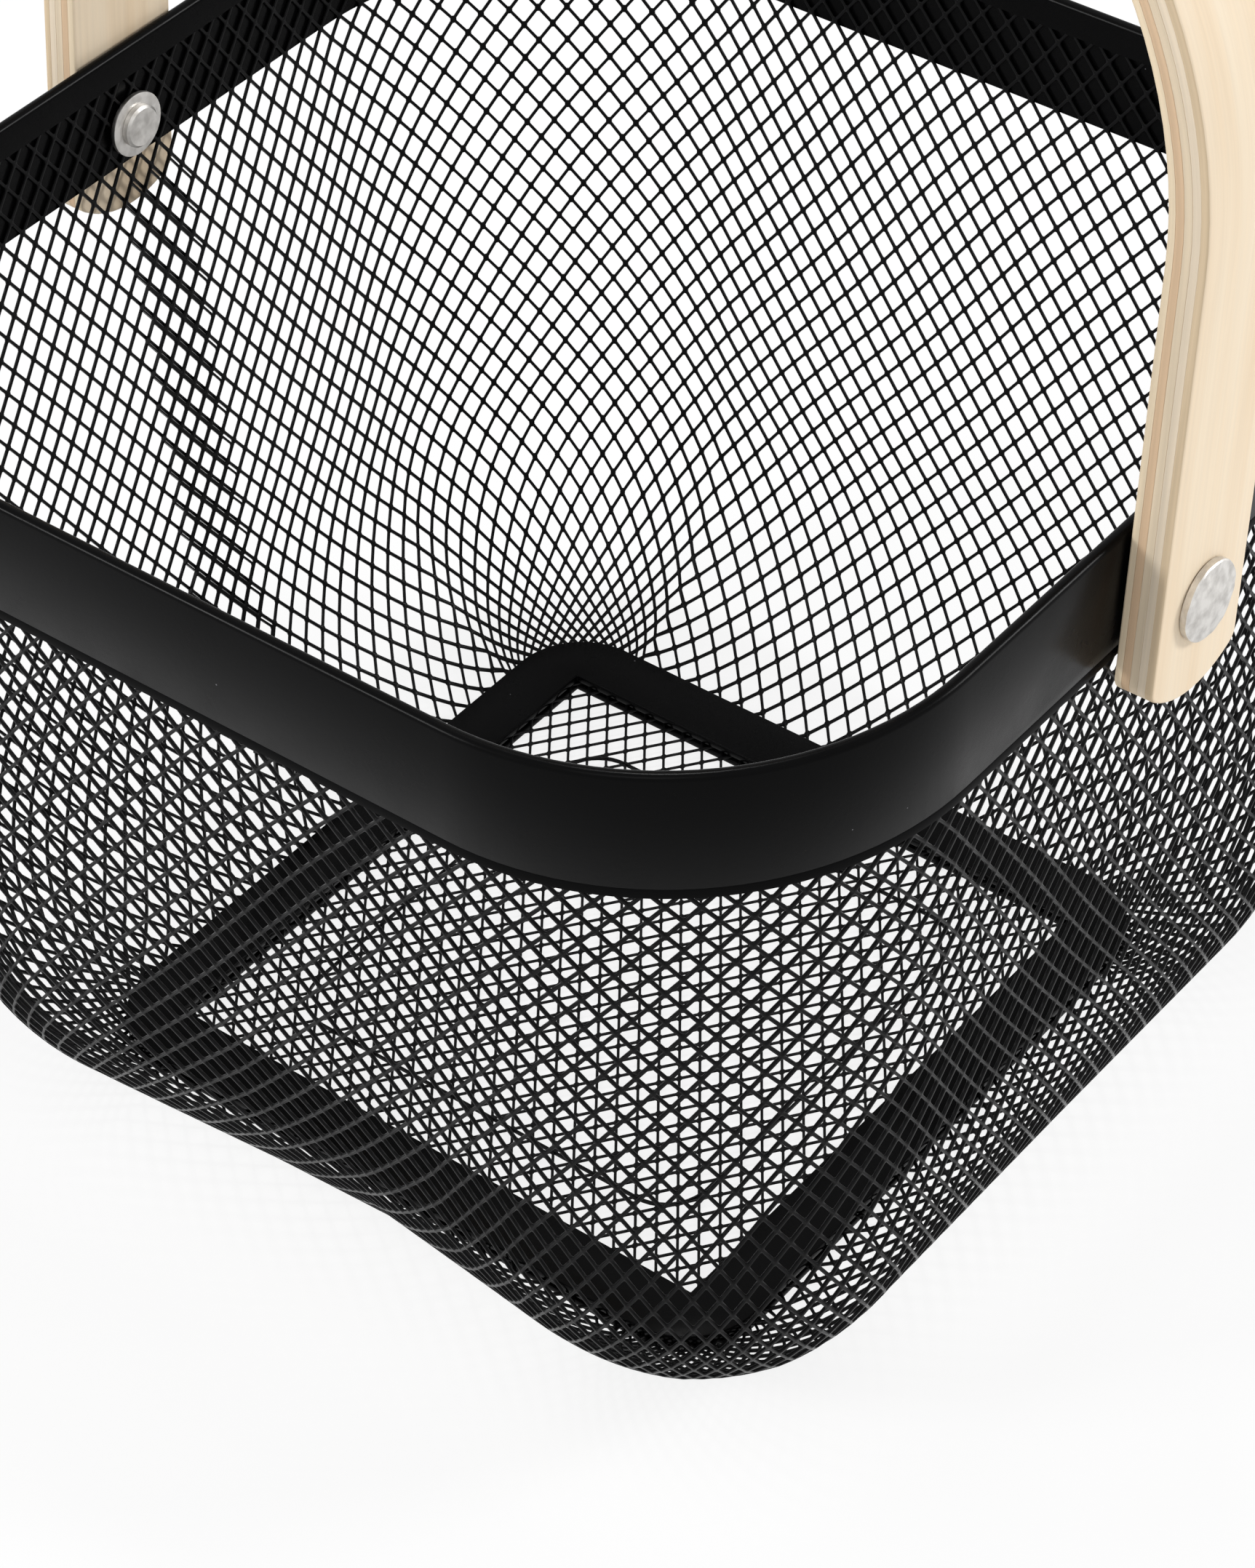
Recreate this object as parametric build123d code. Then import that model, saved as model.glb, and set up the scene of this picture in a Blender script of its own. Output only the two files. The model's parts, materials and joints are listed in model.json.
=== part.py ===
from build123d import *
import os
from math import acos, cos, degrees, radians, sin, tan

# Mesh basket with a folded steel rim, a clamped square base and a bentwood handle that swings on two rivets.
# Millimetres. The origin is the middle of the foot's underside, +Z is up and the handle's pivots lie along X.

# Rim band
rim_side = 250.0
rim_corner_radius = 64.0
rim_top = 190.0
band_height = 27.5
rim_gauge = 0.8
lip_height = 7.0
fold_radius = 1.2
fold_inner_radius = 0.4

# Wall mesh
mesh_gauge = 0.9
mesh_clearance = 0.05
mesh_top_gap = 0.3
foot_angle = 30.0
taper_angle = 3.8
flange_under_ring = 5.5
seam_width = 17.0
seam_offset = 5.0
seam_base_gap = 1.0

# Grid of wall openings: diamonds in the sheet's own pattern, but far larger than its real ones
side_diamond_count = 4
corner_diamond_count = 3
diamond_row_count = 5
wall_strand = 4.5
plain_strip = 3.0

# Base ring, foot ring and floor mesh
base_set_in = 43.5
ring_width = 13.5
ring_corner_sharper = 3.5
ring_gauge = 2.0
foot_gauge = 1.5
wall_foot_gap = 2.2
panel_gap = 0.3
floor_strand = 1.4
floor_column_count = 14
floor_row_count = 10

# Handle
ply_count = 5
ply_gauge = 1.65
glue_line = 0.03
leg_width = 28.0
pivot_above_band = 8.5
leg_above_pivot = 72.0
arch_radius = 100.0
leg_below_pivot = 20.5
leg_shoulder = 15.5
leg_end_radius = 3.0
handle_edge_radius = 0.6
handle_lean = 5.5

# Rivets and washers
shank_radius = 2.5
shank_clearance = 0.05
hole_clearance = 0.1
head_radius = 8.1
head_edge_height = 1.3
dome_radius = 7.3
dome_height = 1.0
head_clearance = 0.1
tail_radius = 4.6
tail_height = 1.6
tail_edge_radius = 0.5
spacer_radius = 8.0
spacer_gauge = 0.5
washer_radius = 7.0
washer_gauge = 1.0
seat_clearance = 0.05

cut_overrun = 5.0

# Heights in the clamped base, from the table upwards
mesh_floor = foot_gauge
ring_floor = mesh_floor + mesh_gauge
ring_top = ring_floor + ring_gauge

# Rim and wall turn their corners about the same four upright axes, and the base rings turn a little sharper.
corner_axis = rim_side / 2 - rim_corner_radius
ring_side = rim_side - 2 * base_set_in
ring_corner_radius = ring_side / 2 - corner_axis - ring_corner_sharper

# Stations along X at the pivots, from the band's outer face outwards and inwards
band_face = rim_side / 2
band_back = band_face - rim_gauge
band_floor = rim_top - band_height
pivot_height = band_floor + pivot_above_band
mesh_face = band_back - mesh_clearance
mesh_back = mesh_face - mesh_gauge
mesh_top = rim_top - rim_gauge - mesh_top_gap
lip_face = mesh_back - mesh_clearance
lip_back = lip_face - rim_gauge
spacer_face = band_face + seat_clearance
leg_inner_face = spacer_face + spacer_gauge + seat_clearance
handle_gauge = ply_count * ply_gauge + (ply_count - 1) * glue_line
leg_outer_face = leg_inner_face + handle_gauge
head_seat = leg_outer_face + head_clearance
washer_face = mesh_back - seat_clearance
tail_seat = washer_face - washer_gauge - seat_clearance

# The wall's outer face is an arc that leaves the foot at foot_angle, then a straight taper up to the band.
wall_foot = ring_side / 2 + wall_foot_gap
foot_sin = sin(radians(foot_angle))
foot_cos = cos(radians(foot_angle))
taper_sin = sin(radians(taper_angle))
taper_cos = cos(radians(taper_angle))
taper_tan = tan(radians(taper_angle))
curve_reach = mesh_face - wall_foot - (band_floor - mesh_floor) * taper_tan
curve_share = taper_cos - foot_sin - (foot_cos - taper_sin) * taper_tan
curve_radius = curve_reach / curve_share
curve_x = wall_foot - curve_radius * foot_sin
curve_z = mesh_floor + curve_radius * foot_cos
kink_rise = mesh_gauge * tan(radians(taper_angle / 2))
arc_length = curve_radius * radians(90 - taper_angle - foot_angle)


def curve_point(depth, angle):
    # Point of the wall's arc, depth inside its outer face, at an angle from straight down
    radius = curve_radius - depth
    return (curve_x + radius * sin(radians(angle)), curve_z - radius * cos(radians(angle)))


def curve_angle(depth, height):
    # Angle at which the arc, depth inside the outer face, passes a height
    return degrees(acos((curve_z - height) / (curve_radius - depth)))


def curve_arc(depth, start_angle, end_angle):
    middle_angle = (start_angle + end_angle) / 2
    return ThreePointArc(
        curve_point(depth, start_angle),
        curve_point(depth, middle_angle),
        curve_point(depth, end_angle),
    )


def upright_face(edges):
    # Closed outline drawn in X and Z, as a face in the XZ plane
    return Plane.XZ * make_face(edges)


def ring_around(profile, axis_offset, side_tools=(), corner_tools=()):
    # A profile at +X carried along four straight sides and four corners about upright axes
    side = extrude(profile, amount=axis_offset, both=True)
    turn_axis = Axis((axis_offset, axis_offset, 0), (0, 0, 1))
    corner = revolve(Pos(0, axis_offset, 0) * profile, turn_axis, 90)
    if side_tools:
        side = side.cut(*side_tools)
        corner = corner.cut(*corner_tools)
    quarters = [Rot(Z=90 * turn) * piece for turn in range(4) for piece in (side, corner)]
    return quarters[0].fuse(*quarters[1:]).clean()


def both_sides(piece):
    # The piece at +X and its twin turned round to -X
    return [piece, Rot(Z=180) * piece]


def pivot_cylinder(radius, start, end):
    # Cylinder along X on the pivot axis, between two stations
    return Pos((start + end) / 2, 0, pivot_height) * Rot(Y=90) * Cylinder(radius, end - start)


def pivot_holes(radius, start, end):
    return both_sides(pivot_cylinder(radius, start - cut_overrun, end + cut_overrun))


def make_rim_band():
    # Strip folded over the mesh: deep outer band, narrow top and short inner lip
    outline = Polyline(
        (band_face, band_floor),
        (band_face, rim_top),
        (lip_back, rim_top),
        (lip_back, rim_top - lip_height),
        (lip_face, rim_top - lip_height),
        (lip_face, rim_top - rim_gauge),
        (band_back, rim_top - rim_gauge),
        (band_back, band_floor),
        close=True,
    )
    section = make_face(outline)
    outer_corners = section.vertices().group_by(Axis.Y)[-1]
    section = fillet(outer_corners, fold_radius)
    inner_corners = [v for v in section.vertices() if abs(v.Y - rim_top + rim_gauge) < mesh_clearance]
    section = fillet(inner_corners, fold_inner_radius)
    band = ring_around(Plane.XZ * section, corner_axis)
    return band - pivot_holes(shank_radius + hole_clearance, band_back, band_face)


def wall_station(length):
    # Half width, height and angle from straight down of the wall's outer face, a length up from its foot
    if length < arc_length:
        angle = foot_angle + degrees(length / curve_radius)
        return (*curve_point(0, angle), angle)
    x, z = curve_point(0, 90 - taper_angle)
    rise = length - arc_length
    return x + rise * taper_sin, z + rise * taper_cos, 90 - taper_angle


def wall_diamond(length, row_height, pitch_before, pitch_after):
    # Prism through the wall at +X, a length up from its foot, as wide on each side as its own columns allow
    x, z, angle = wall_station(length)
    facing = (sin(radians(angle)), 0, -cos(radians(angle)))
    pitch = (pitch_before + pitch_after) / 2
    inradius = pitch * row_height / (2 * (pitch**2 + row_height**2) ** 0.5)
    hole_share = 1 - wall_strand / (2 * inradius)
    half_height = row_height / 2 * hole_share
    corners = [
        (-pitch_before / 2 * hole_share, 0),
        (0, -half_height),
        (pitch_after / 2 * hole_share, 0),
        (0, half_height),
    ]
    outline = Plane(origin=(x, 0, z), x_dir=(0, 1, 0), z_dir=facing) * make_face(Polyline(*corners, close=True))
    return extrude(outline, amount=cut_overrun, both=True)


def make_wall_tools():
    # Diamonds for one side and one corner, in rows that are staggered by half a column
    total = arc_length + (band_floor - wall_station(arc_length)[1]) / taper_cos
    row_height = (total - 2 * plain_strip) / diamond_row_count
    side_pitch = 2 * corner_axis / side_diamond_count
    corner_step = 90 / corner_diamond_count
    side_tools = []
    corner_tools = []
    for row in range(2 * diamond_row_count - 1):
        length = plain_strip + (row + 1) * row_height / 2
        corner_pitch = (wall_station(length)[0] - corner_axis) * radians(corner_step)
        between = row % 2
        for column in range(side_diamond_count + between):
            first = between and column == 0
            last = between and column == side_diamond_count
            before = corner_pitch if first else side_pitch
            after = corner_pitch if last else side_pitch
            y = -corner_axis + (column + (1 - between) / 2) * side_pitch
            side_tools.append(Pos(0, y, 0) * wall_diamond(length, row_height, before, after))
        for column in range(corner_diamond_count + between):
            first = between and column == 0
            last = between and column == corner_diamond_count
            before = side_pitch if first else corner_pitch
            after = side_pitch if last else corner_pitch
            turn = Rot(Z=(column + (1 - between) / 2) * corner_step)
            tool = Pos(-corner_axis, 0, 0) * wall_diamond(length, row_height, before, after)
            corner_tools.append(Pos(corner_axis, corner_axis, 0) * turn * tool)
    return side_tools, corner_tools


def make_wall_mesh():
    # Thin shell with the mesh sheet's own shape: flange under the base ring, curve, taper and upright top.
    # Its openings stop short of the base ring and of the rim band.
    flange_edge = ring_side / 2 - flange_under_ring
    top_angle = 90 - taper_angle
    inner_start = curve_angle(mesh_gauge, mesh_floor + mesh_gauge)
    outer_arc = curve_arc(0, foot_angle, top_angle)
    inner_arc = curve_arc(mesh_gauge, top_angle, inner_start)
    outline = [
        Line((flange_edge, mesh_floor), outer_arc @ 0),
        outer_arc,
        Polyline(outer_arc @ 1, (mesh_face, band_floor), (mesh_face, mesh_top), (mesh_back, mesh_top),
                 (mesh_back, band_floor + kink_rise), inner_arc @ 0),
        inner_arc,
        Polyline(inner_arc @ 1, (flange_edge, ring_floor), (flange_edge, mesh_floor)),
    ]
    side_tools, corner_tools = make_wall_tools()
    wall = ring_around(upright_face(outline), corner_axis, side_tools, corner_tools)
    wall = wall.fuse(make_seam_lap(side_tools)).clean()
    return wall - pivot_holes(shank_radius + hole_clearance, mesh_back, mesh_face)


def make_seam_lap(side_tools):
    # The sheet's other end, lapped inside the wall on the -X side, from above the base ring to the band
    lap_floor = ring_top + seam_base_gap
    top_angle = 90 - taper_angle
    face_arc = curve_arc(mesh_gauge, curve_angle(mesh_gauge, lap_floor), top_angle)
    back_arc = curve_arc(2 * mesh_gauge, top_angle, curve_angle(2 * mesh_gauge, lap_floor))
    face_top = face_arc @ 1
    rise = band_floor - face_top.Y
    lap_face_top = (face_top.X + rise * taper_tan, band_floor)
    lap_back_top = (lap_face_top[0] - mesh_gauge / taper_cos, band_floor)
    outline = [
        face_arc,
        Polyline(face_arc @ 1, lap_face_top, lap_back_top, back_arc @ 0),
        back_arc,
        Line(back_arc @ 1, face_arc @ 0),
    ]
    lap = Pos(0, -seam_offset, 0) * extrude(upright_face(outline), amount=seam_width / 2, both=True)
    return Rot(Z=180) * lap.cut(*side_tools)


def rounded_square(side, radius):
    return RectangleRounded(side, side, radius)


def make_ring(gauge, floor):
    # Flat strip frame with rounded outer and sharp inner corners
    inner_side = ring_side - 2 * ring_width
    frame = rounded_square(ring_side, ring_corner_radius) - Rectangle(inner_side, inner_side)
    return Pos(0, 0, floor) * extrude(frame, amount=gauge)


def floor_diamond(centre_x, centre_y, half_x, half_y):
    corners = [
        (centre_x + half_x, centre_y),
        (centre_x, centre_y + half_y),
        (centre_x - half_x, centre_y),
        (centre_x, centre_y - half_y),
    ]
    return Wire.make_polygon(corners, close=True)


def make_floor_mesh():
    # Flat panel with diamond openings inside the ring, and a plain margin that the two rings clamp
    panel_half = ring_side / 2 - flange_under_ring - panel_gap
    panel_radius = panel_half - corner_axis
    open_side = ring_side - 2 * ring_width
    pitch_x = open_side / floor_column_count
    pitch_y = open_side / floor_row_count
    cell_inradius = pitch_x * pitch_y / (2 * (pitch_x**2 + pitch_y**2) ** 0.5)
    hole_share = 1 - floor_strand / (2 * cell_inradius)
    half_x = pitch_x / 2 * hole_share
    half_y = pitch_y / 2 * hole_share
    holes = []
    for column in range(2 * floor_column_count - 1):
        for row in range(2 * floor_row_count - 1):
            if (column + row) % 2 == 0:
                x = (column + 1) * pitch_x / 2 - open_side / 2
                y = (row + 1) * pitch_y / 2 - open_side / 2
                holes.append(floor_diamond(x, y, half_x, half_y))
    print("floor mesh openings:", len(holes))
    outer = rounded_square(2 * panel_half, panel_radius).face().outer_wire()
    return Pos(0, 0, mesh_floor) * extrude(Face(outer, holes), amount=mesh_gauge, dir=(0, 0, 1))


def hoop_outline(depth):
    # Line of the handle, depth inside its outer face: leg, bend, top bar, bend and leg
    half = leg_outer_face - depth
    radius = arch_radius - depth
    shoulder = pivot_height + leg_above_pivot
    top = shoulder + radius
    foot = pivot_height - leg_below_pivot - cut_overrun
    bend_x = half - radius
    spring = radius * cos(radians(45))
    return [
        Line((half, foot), (half, shoulder)),
        ThreePointArc((half, shoulder), (bend_x + spring, shoulder + spring), (bend_x, top)),
        Line((bend_x, top), (-bend_x, top)),
        ThreePointArc((-bend_x, top), (-bend_x - spring, shoulder + spring), (-half, shoulder)),
        Line((-half, shoulder), (-half, foot)),
    ]


def make_leg_envelope():
    # Side view of the handle: parallel edges, shoulders and a gently curved lower end, carried along X
    half = leg_width / 2
    shoulder = pivot_height - leg_shoulder
    tip = pivot_height - leg_below_pivot
    roof = pivot_height + leg_above_pivot + arch_radius + cut_overrun
    outline = [
        ThreePointArc((-half, shoulder), (0, tip), (half, shoulder)),
        Polyline((half, shoulder), (half, roof), (-half, roof), (-half, shoulder)),
    ]
    side_view = make_face(outline)
    shoulders = [v for v in side_view.vertices() if v.Y < roof - cut_overrun]
    side_view = fillet(shoulders, leg_end_radius)
    return extrude(Plane.YZ * side_view, amount=band_face + arch_radius, both=True)


def round_face_edges(ply, depth):
    # Softens the edges round the bent face that lies at a depth from the handle's outer face
    hoop = Plane.XZ * Wire(hoop_outline(depth))
    rim = []
    for edge in ply.edges():
        middle = edge @ 0.5
        crosses = edge.geom_type == GeomType.LINE and abs(middle.Y) < glue_line
        if hoop.distance_to(Vector(middle.X, 0, middle.Z)) < glue_line and not crosses:
            rim.append(edge)
    return fillet(rim, handle_edge_radius)


def make_ply(index, envelope):
    # One bent veneer; the first is the handle's outer face and the last its inner face
    near = index * (ply_gauge + glue_line)
    far = near + ply_gauge
    outer = hoop_outline(near)
    inner = hoop_outline(far)
    ends = [Line(outer[0] @ 0, inner[0] @ 0), Line(outer[-1] @ 1, inner[-1] @ 1)]
    ply = extrude(upright_face(outer + inner + ends), amount=leg_width / 2, both=True)
    ply = ply & envelope
    if index == 0:
        ply = round_face_edges(ply, near)
    if index == ply_count - 1:
        ply = round_face_edges(ply, far)
    ply = ply - pivot_holes(shank_radius + shank_clearance, leg_inner_face, leg_outer_face)
    return Pos(0, 0, pivot_height) * Rot(X=-handle_lean) * Pos(0, 0, -pivot_height) * ply


def make_rivet():
    # Domed head outside the leg, shank through leg, washers, band and mesh, and clinched tail inside
    edge_end = head_seat + head_edge_height
    dome_end = edge_end + dome_height
    tail_end = tail_seat - tail_height
    half_dome = dome_radius / 2
    dome_ball = (dome_radius**2 + dome_height**2) / (2 * dome_height)
    half_dome_rise = (dome_ball**2 - half_dome**2) ** 0.5 - (dome_ball - dome_height)
    outline = [
        Polyline((tail_end, 0), (tail_end, tail_radius - tail_edge_radius),
                 (tail_end + tail_edge_radius, tail_radius), (tail_seat, tail_radius),
                 (tail_seat, shank_radius), (head_seat, shank_radius), (head_seat, head_radius),
                 (edge_end, head_radius), (edge_end, dome_radius)),
        ThreePointArc((edge_end, dome_radius), (edge_end + half_dome_rise, half_dome), (dome_end, 0)),
        Line((dome_end, 0), (tail_end, 0)),
    ]
    return Pos(0, 0, pivot_height) * revolve(make_face(outline), Axis.X, 360)


def make_washer(radius, start, end):
    return pivot_cylinder(radius, start, end) - pivot_holes(shank_radius + hole_clearance, start, end)


leg_envelope = make_leg_envelope()
nodes = {
    "rim_band": make_rim_band(),
    "wall_mesh": make_wall_mesh(),
    "floor_mesh": make_floor_mesh(),
    "base_ring": make_ring(ring_gauge, ring_floor),
    "foot_ring": make_ring(foot_gauge, 0),
    "pivot_rivets": Compound(both_sides(make_rivet())),
    "spacer_washers": Compound(both_sides(make_washer(spacer_radius, spacer_face, spacer_face + spacer_gauge))),
    "inner_washers": Compound(both_sides(make_washer(washer_radius, washer_face - washer_gauge, washer_face))),
}
for index in range(ply_count):
    nodes[f"handle_ply_{index + 1}"] = make_ply(index, leg_envelope)

os.makedirs("parts", exist_ok=True)
for name, shape in nodes.items():
    export_step(shape, f"parts/{name}.step")
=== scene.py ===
# Deep square mesh basket with a folded steel rim, a clamped base and a bentwood handle
import json
import math

import bpy
import numpy as np
from mathutils import Matrix, Vector


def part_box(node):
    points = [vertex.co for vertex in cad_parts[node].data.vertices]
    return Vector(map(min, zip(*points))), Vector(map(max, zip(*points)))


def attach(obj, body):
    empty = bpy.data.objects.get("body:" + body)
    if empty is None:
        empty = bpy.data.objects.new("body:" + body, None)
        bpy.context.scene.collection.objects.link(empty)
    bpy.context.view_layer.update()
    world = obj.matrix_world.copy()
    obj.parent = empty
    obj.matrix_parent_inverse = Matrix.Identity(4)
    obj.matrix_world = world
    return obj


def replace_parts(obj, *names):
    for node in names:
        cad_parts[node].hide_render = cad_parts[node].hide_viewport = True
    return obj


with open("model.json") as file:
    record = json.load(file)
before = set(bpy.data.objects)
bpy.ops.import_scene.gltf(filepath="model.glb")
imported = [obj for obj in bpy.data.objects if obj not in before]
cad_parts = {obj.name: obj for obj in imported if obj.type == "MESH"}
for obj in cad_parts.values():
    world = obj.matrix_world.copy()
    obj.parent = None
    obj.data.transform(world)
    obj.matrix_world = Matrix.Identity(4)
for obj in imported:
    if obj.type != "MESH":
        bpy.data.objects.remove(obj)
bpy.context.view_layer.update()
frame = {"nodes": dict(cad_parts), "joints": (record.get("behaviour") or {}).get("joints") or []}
mm = 0.001
print("frame loaded:", len(frame["nodes"]), "nodes")

# Camera at the photograph's viewing angle
view = {"place": (0.46641, -0.57763, 0.71660), "azimuth": 38.874, "elevation": 41.680, "roll": -1.671,
        "lens": 109.854, "sensor": 36, "near": 0.05, "far": 20}

camera = bpy.data.objects.new("camera", bpy.data.cameras.new("camera"))
bpy.context.scene.collection.objects.link(camera)
camera.data.sensor_width = view["sensor"]
camera.data.lens = view["lens"]
camera.data.clip_start = view["near"]
camera.data.clip_end = view["far"]
cameraTurn = (Matrix.Rotation(math.radians(view["azimuth"]), 4, "Z")
              @ Matrix.Rotation(math.radians(90 - view["elevation"]), 4, "X")
              @ Matrix.Rotation(math.radians(view["roll"]), 4, "Z"))
camera.matrix_world = Matrix.Translation(view["place"]) @ cameraTurn
bpy.context.scene.camera = camera
bpy.context.scene.view_settings.view_transform = "Standard"

# Places that the pieces share, read from the frame
rimLow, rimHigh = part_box("rim_band")
wallLow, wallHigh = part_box("wall_mesh")
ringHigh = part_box("base_ring")[1]
floorLow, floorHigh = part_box("floor_mesh")
pivotHeight = frame["joints"][0]["pos_m"][2]
# The upright axis that the wall and the rim are rounded about at each corner, out from the middle both ways
cornerAxis = 61 * mm
# Points as near as this are one point, or lie on one line
weld = 0.002 * mm
touch = 0.01 * mm


# Small helpers for modelling

def clearSelection():
    if bpy.context.object and bpy.context.object.mode != "OBJECT":
        bpy.ops.object.mode_set(mode="OBJECT")
    bpy.ops.object.select_all(action="DESELECT")


def selectOnly(piece):
    clearSelection()
    piece.select_set(True)
    bpy.context.view_layer.objects.active = piece


def editAll(piece):
    selectOnly(piece)
    bpy.ops.object.mode_set(mode="EDIT")
    bpy.ops.mesh.select_mode(type="VERT")
    bpy.ops.mesh.select_all(action="SELECT")


def leaveEdit():
    bpy.ops.object.mode_set(mode="OBJECT")


def pushOut(x=0.0, y=0.0, z=0.0):
    bpy.ops.mesh.extrude_region_move(TRANSFORM_OT_translate={"value": (x, y, z)})


def editWhere(piece, kind, test):
    # Enters edit mode with the vertices, edges or faces that pass the test
    selectOnly(piece)
    bpy.ops.object.mode_set(mode="EDIT")
    bpy.ops.mesh.select_mode(type={"vertices": "VERT", "edges": "EDGE", "polygons": "FACE"}[kind])
    bpy.ops.mesh.select_all(action="DESELECT")
    bpy.ops.object.mode_set(mode="OBJECT")
    parts = getattr(piece.data, kind)
    parts.foreach_set("select", [bool(test(part)) for part in parts])
    bpy.ops.object.mode_set(mode="EDIT")


def tidyShell(piece, gap=weld):
    editAll(piece)
    bpy.ops.mesh.remove_doubles(threshold=gap)
    bpy.ops.mesh.normals_make_consistent(inside=False)
    leaveEdit()


def applyModifiers(piece):
    selectOnly(piece)
    for modifier in list(piece.modifiers):
        bpy.ops.object.modifier_apply(modifier=modifier.name)


def softenEdges(piece, width, segments=2, angle=40):
    bevel = piece.modifiers.new("soften", "BEVEL")
    bevel.width = width
    bevel.segments = segments
    bevel.limit_method = "ANGLE"
    bevel.angle_limit = math.radians(angle)
    applyModifiers(piece)


def drawChain(points):
    # A small plane merged to one vertex, then extruded from point to point
    clearSelection()
    bpy.ops.mesh.primitive_plane_add(size=mm, location=points[0])
    piece = bpy.context.object
    bpy.ops.object.transform_apply(location=True)
    editAll(piece)
    bpy.ops.mesh.merge(type="CENTER")
    for start, end in zip(points, points[1:]):
        pushOut(*(Vector(end) - Vector(start)))
    leaveEdit()
    return piece


def closeChain(piece, filled):
    # Joins the two ends, then fills the outline if it is a plate
    ends = (0, len(piece.data.vertices) - 1)
    editWhere(piece, "vertices", lambda vertex: vertex.index in ends)
    bpy.ops.mesh.edge_face_add()
    if filled:
        bpy.ops.mesh.select_all(action="SELECT")
        bpy.ops.mesh.edge_face_add()
    leaveEdit()


def carryRound(piece, axis, steps):
    # Half a side, a corner about its upright axis and half the next side, then four times round
    editAll(piece)
    pushOut(y=axis)
    bpy.ops.mesh.spin(steps=steps, angle=-math.pi / 2, center=(axis, axis, 0), axis=(0, 0, 1))
    pushOut(x=-axis)
    bpy.ops.mesh.select_all(action="SELECT")
    for _ in range(3):
        bpy.ops.mesh.duplicate()
        bpy.ops.transform.rotate(value=math.pi / 2, orient_axis="Z", center_override=(0, 0, 0))
    leaveEdit()
    tidyShell(piece)


def spinOnPivot(piece, steps):
    editAll(piece)
    bpy.ops.mesh.spin(steps=steps, angle=2 * math.pi, center=(0, 0, pivotHeight), axis=(1, 0, 0))
    leaveEdit()
    tidyShell(piece)


def addTwin(piece):
    # The same piece for the other pivot, turned half round
    editAll(piece)
    bpy.ops.mesh.duplicate()
    bpy.ops.transform.rotate(value=math.pi, orient_axis="Z", center_override=(0, 0, 0))
    leaveEdit()


def smoothEdges(piece, angle):
    selectOnly(piece)
    bpy.ops.object.shade_smooth_by_angle(angle=math.radians(angle))


def drillPivot(piece, radius, steps=40, length=1):
    # One straight hole along the pivots' axis, through both sides
    clearSelection()
    bpy.ops.mesh.primitive_cylinder_add(vertices=steps, radius=radius, depth=length,
                                        location=(0, 0, pivotHeight), rotation=(0, math.pi / 2, 0))
    drill = bpy.context.object
    hole = piece.modifiers.new("hole", "BOOLEAN")
    hole.operation = "DIFFERENCE"
    hole.solver = "EXACT"
    hole.object = drill
    applyModifiers(piece)
    bpy.data.objects.remove(drill)


def sumWaves(turn, row, waves):
    # Each wave is its count round the turn, how far it slides with each row, its start and its strength
    return sum(strength * np.sin(count * turn + slide * row + start)
               for count, slide, start, strength in waves)


def finishPiece(piece, name, body, slotName, *materials):
    piece.name = name
    piece.data.name = name
    piece.data.materials.clear()
    for material in materials:
        piece.data.materials.append(material)
    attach(piece, body)
    print("piece", name, len(piece.data.polygons), "faces")
    return piece


# Small helpers for materials

def newMaterial(name):
    material = bpy.data.materials.new(name)
    material.use_nodes = True
    return material, material.node_tree, material.node_tree.nodes["Principled BSDF"]


def addNode(tree, kind, **settings):
    node = tree.nodes.new(kind)
    for key, value in settings.items():
        setattr(node, key, value)
    return node


def placeOn(tree, scale=(1, 1, 1), shift=(0, 0, 0), attribute=None):
    if attribute:
        source = addNode(tree, "ShaderNodeAttribute", attribute_name=attribute).outputs["Vector"]
    else:
        source = addNode(tree, "ShaderNodeTexCoord").outputs["Object"]
    mapping = addNode(tree, "ShaderNodeMapping")
    mapping.inputs["Scale"].default_value = scale
    mapping.inputs["Location"].default_value = shift
    tree.links.new(source, mapping.inputs["Vector"])
    return mapping.outputs["Vector"]


def noiseOn(tree, place, scale, detail=2.0):
    noise = addNode(tree, "ShaderNodeTexNoise")
    noise.inputs["Scale"].default_value = scale
    noise.inputs["Detail"].default_value = detail
    tree.links.new(place, noise.inputs["Vector"])
    return noise.outputs["Fac"]


def rampOn(tree, value, *stops):
    ramp = addNode(tree, "ShaderNodeValToRGB")
    elements = ramp.color_ramp.elements
    while len(elements) < len(stops):
        elements.new(0.5)
    for element, (place, colour) in zip(elements, stops):
        element.position = place
        element.color = (*colour, 1) if hasattr(colour, "__len__") else (colour, colour, colour, 1)
    tree.links.new(value, ramp.inputs["Fac"])
    return ramp.outputs["Color"]


def mixOn(tree, share, first, second, blend="MIX"):
    mix = addNode(tree, "ShaderNodeMix", data_type="RGBA", blend_type=blend)
    colours = [socket for socket in mix.inputs if socket.type == "RGBA"]
    for socket, value in zip([mix.inputs[0]] + colours, (share, first, second)):
        if isinstance(value, bpy.types.NodeSocket):
            tree.links.new(value, socket)
        elif hasattr(value, "__len__"):
            socket.default_value = (*value, 1)
        else:
            socket.default_value = value
    return [socket for socket in mix.outputs if socket.type == "RGBA"][0]


def bumpOn(tree, shader, height, strength, distance):
    bump = addNode(tree, "ShaderNodeBump")
    bump.inputs["Strength"].default_value = strength
    bump.inputs["Distance"].default_value = distance
    tree.links.new(height, bump.inputs["Height"])
    tree.links.new(bump.outputs["Normal"], shader.inputs["Normal"])


# Finishes

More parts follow.
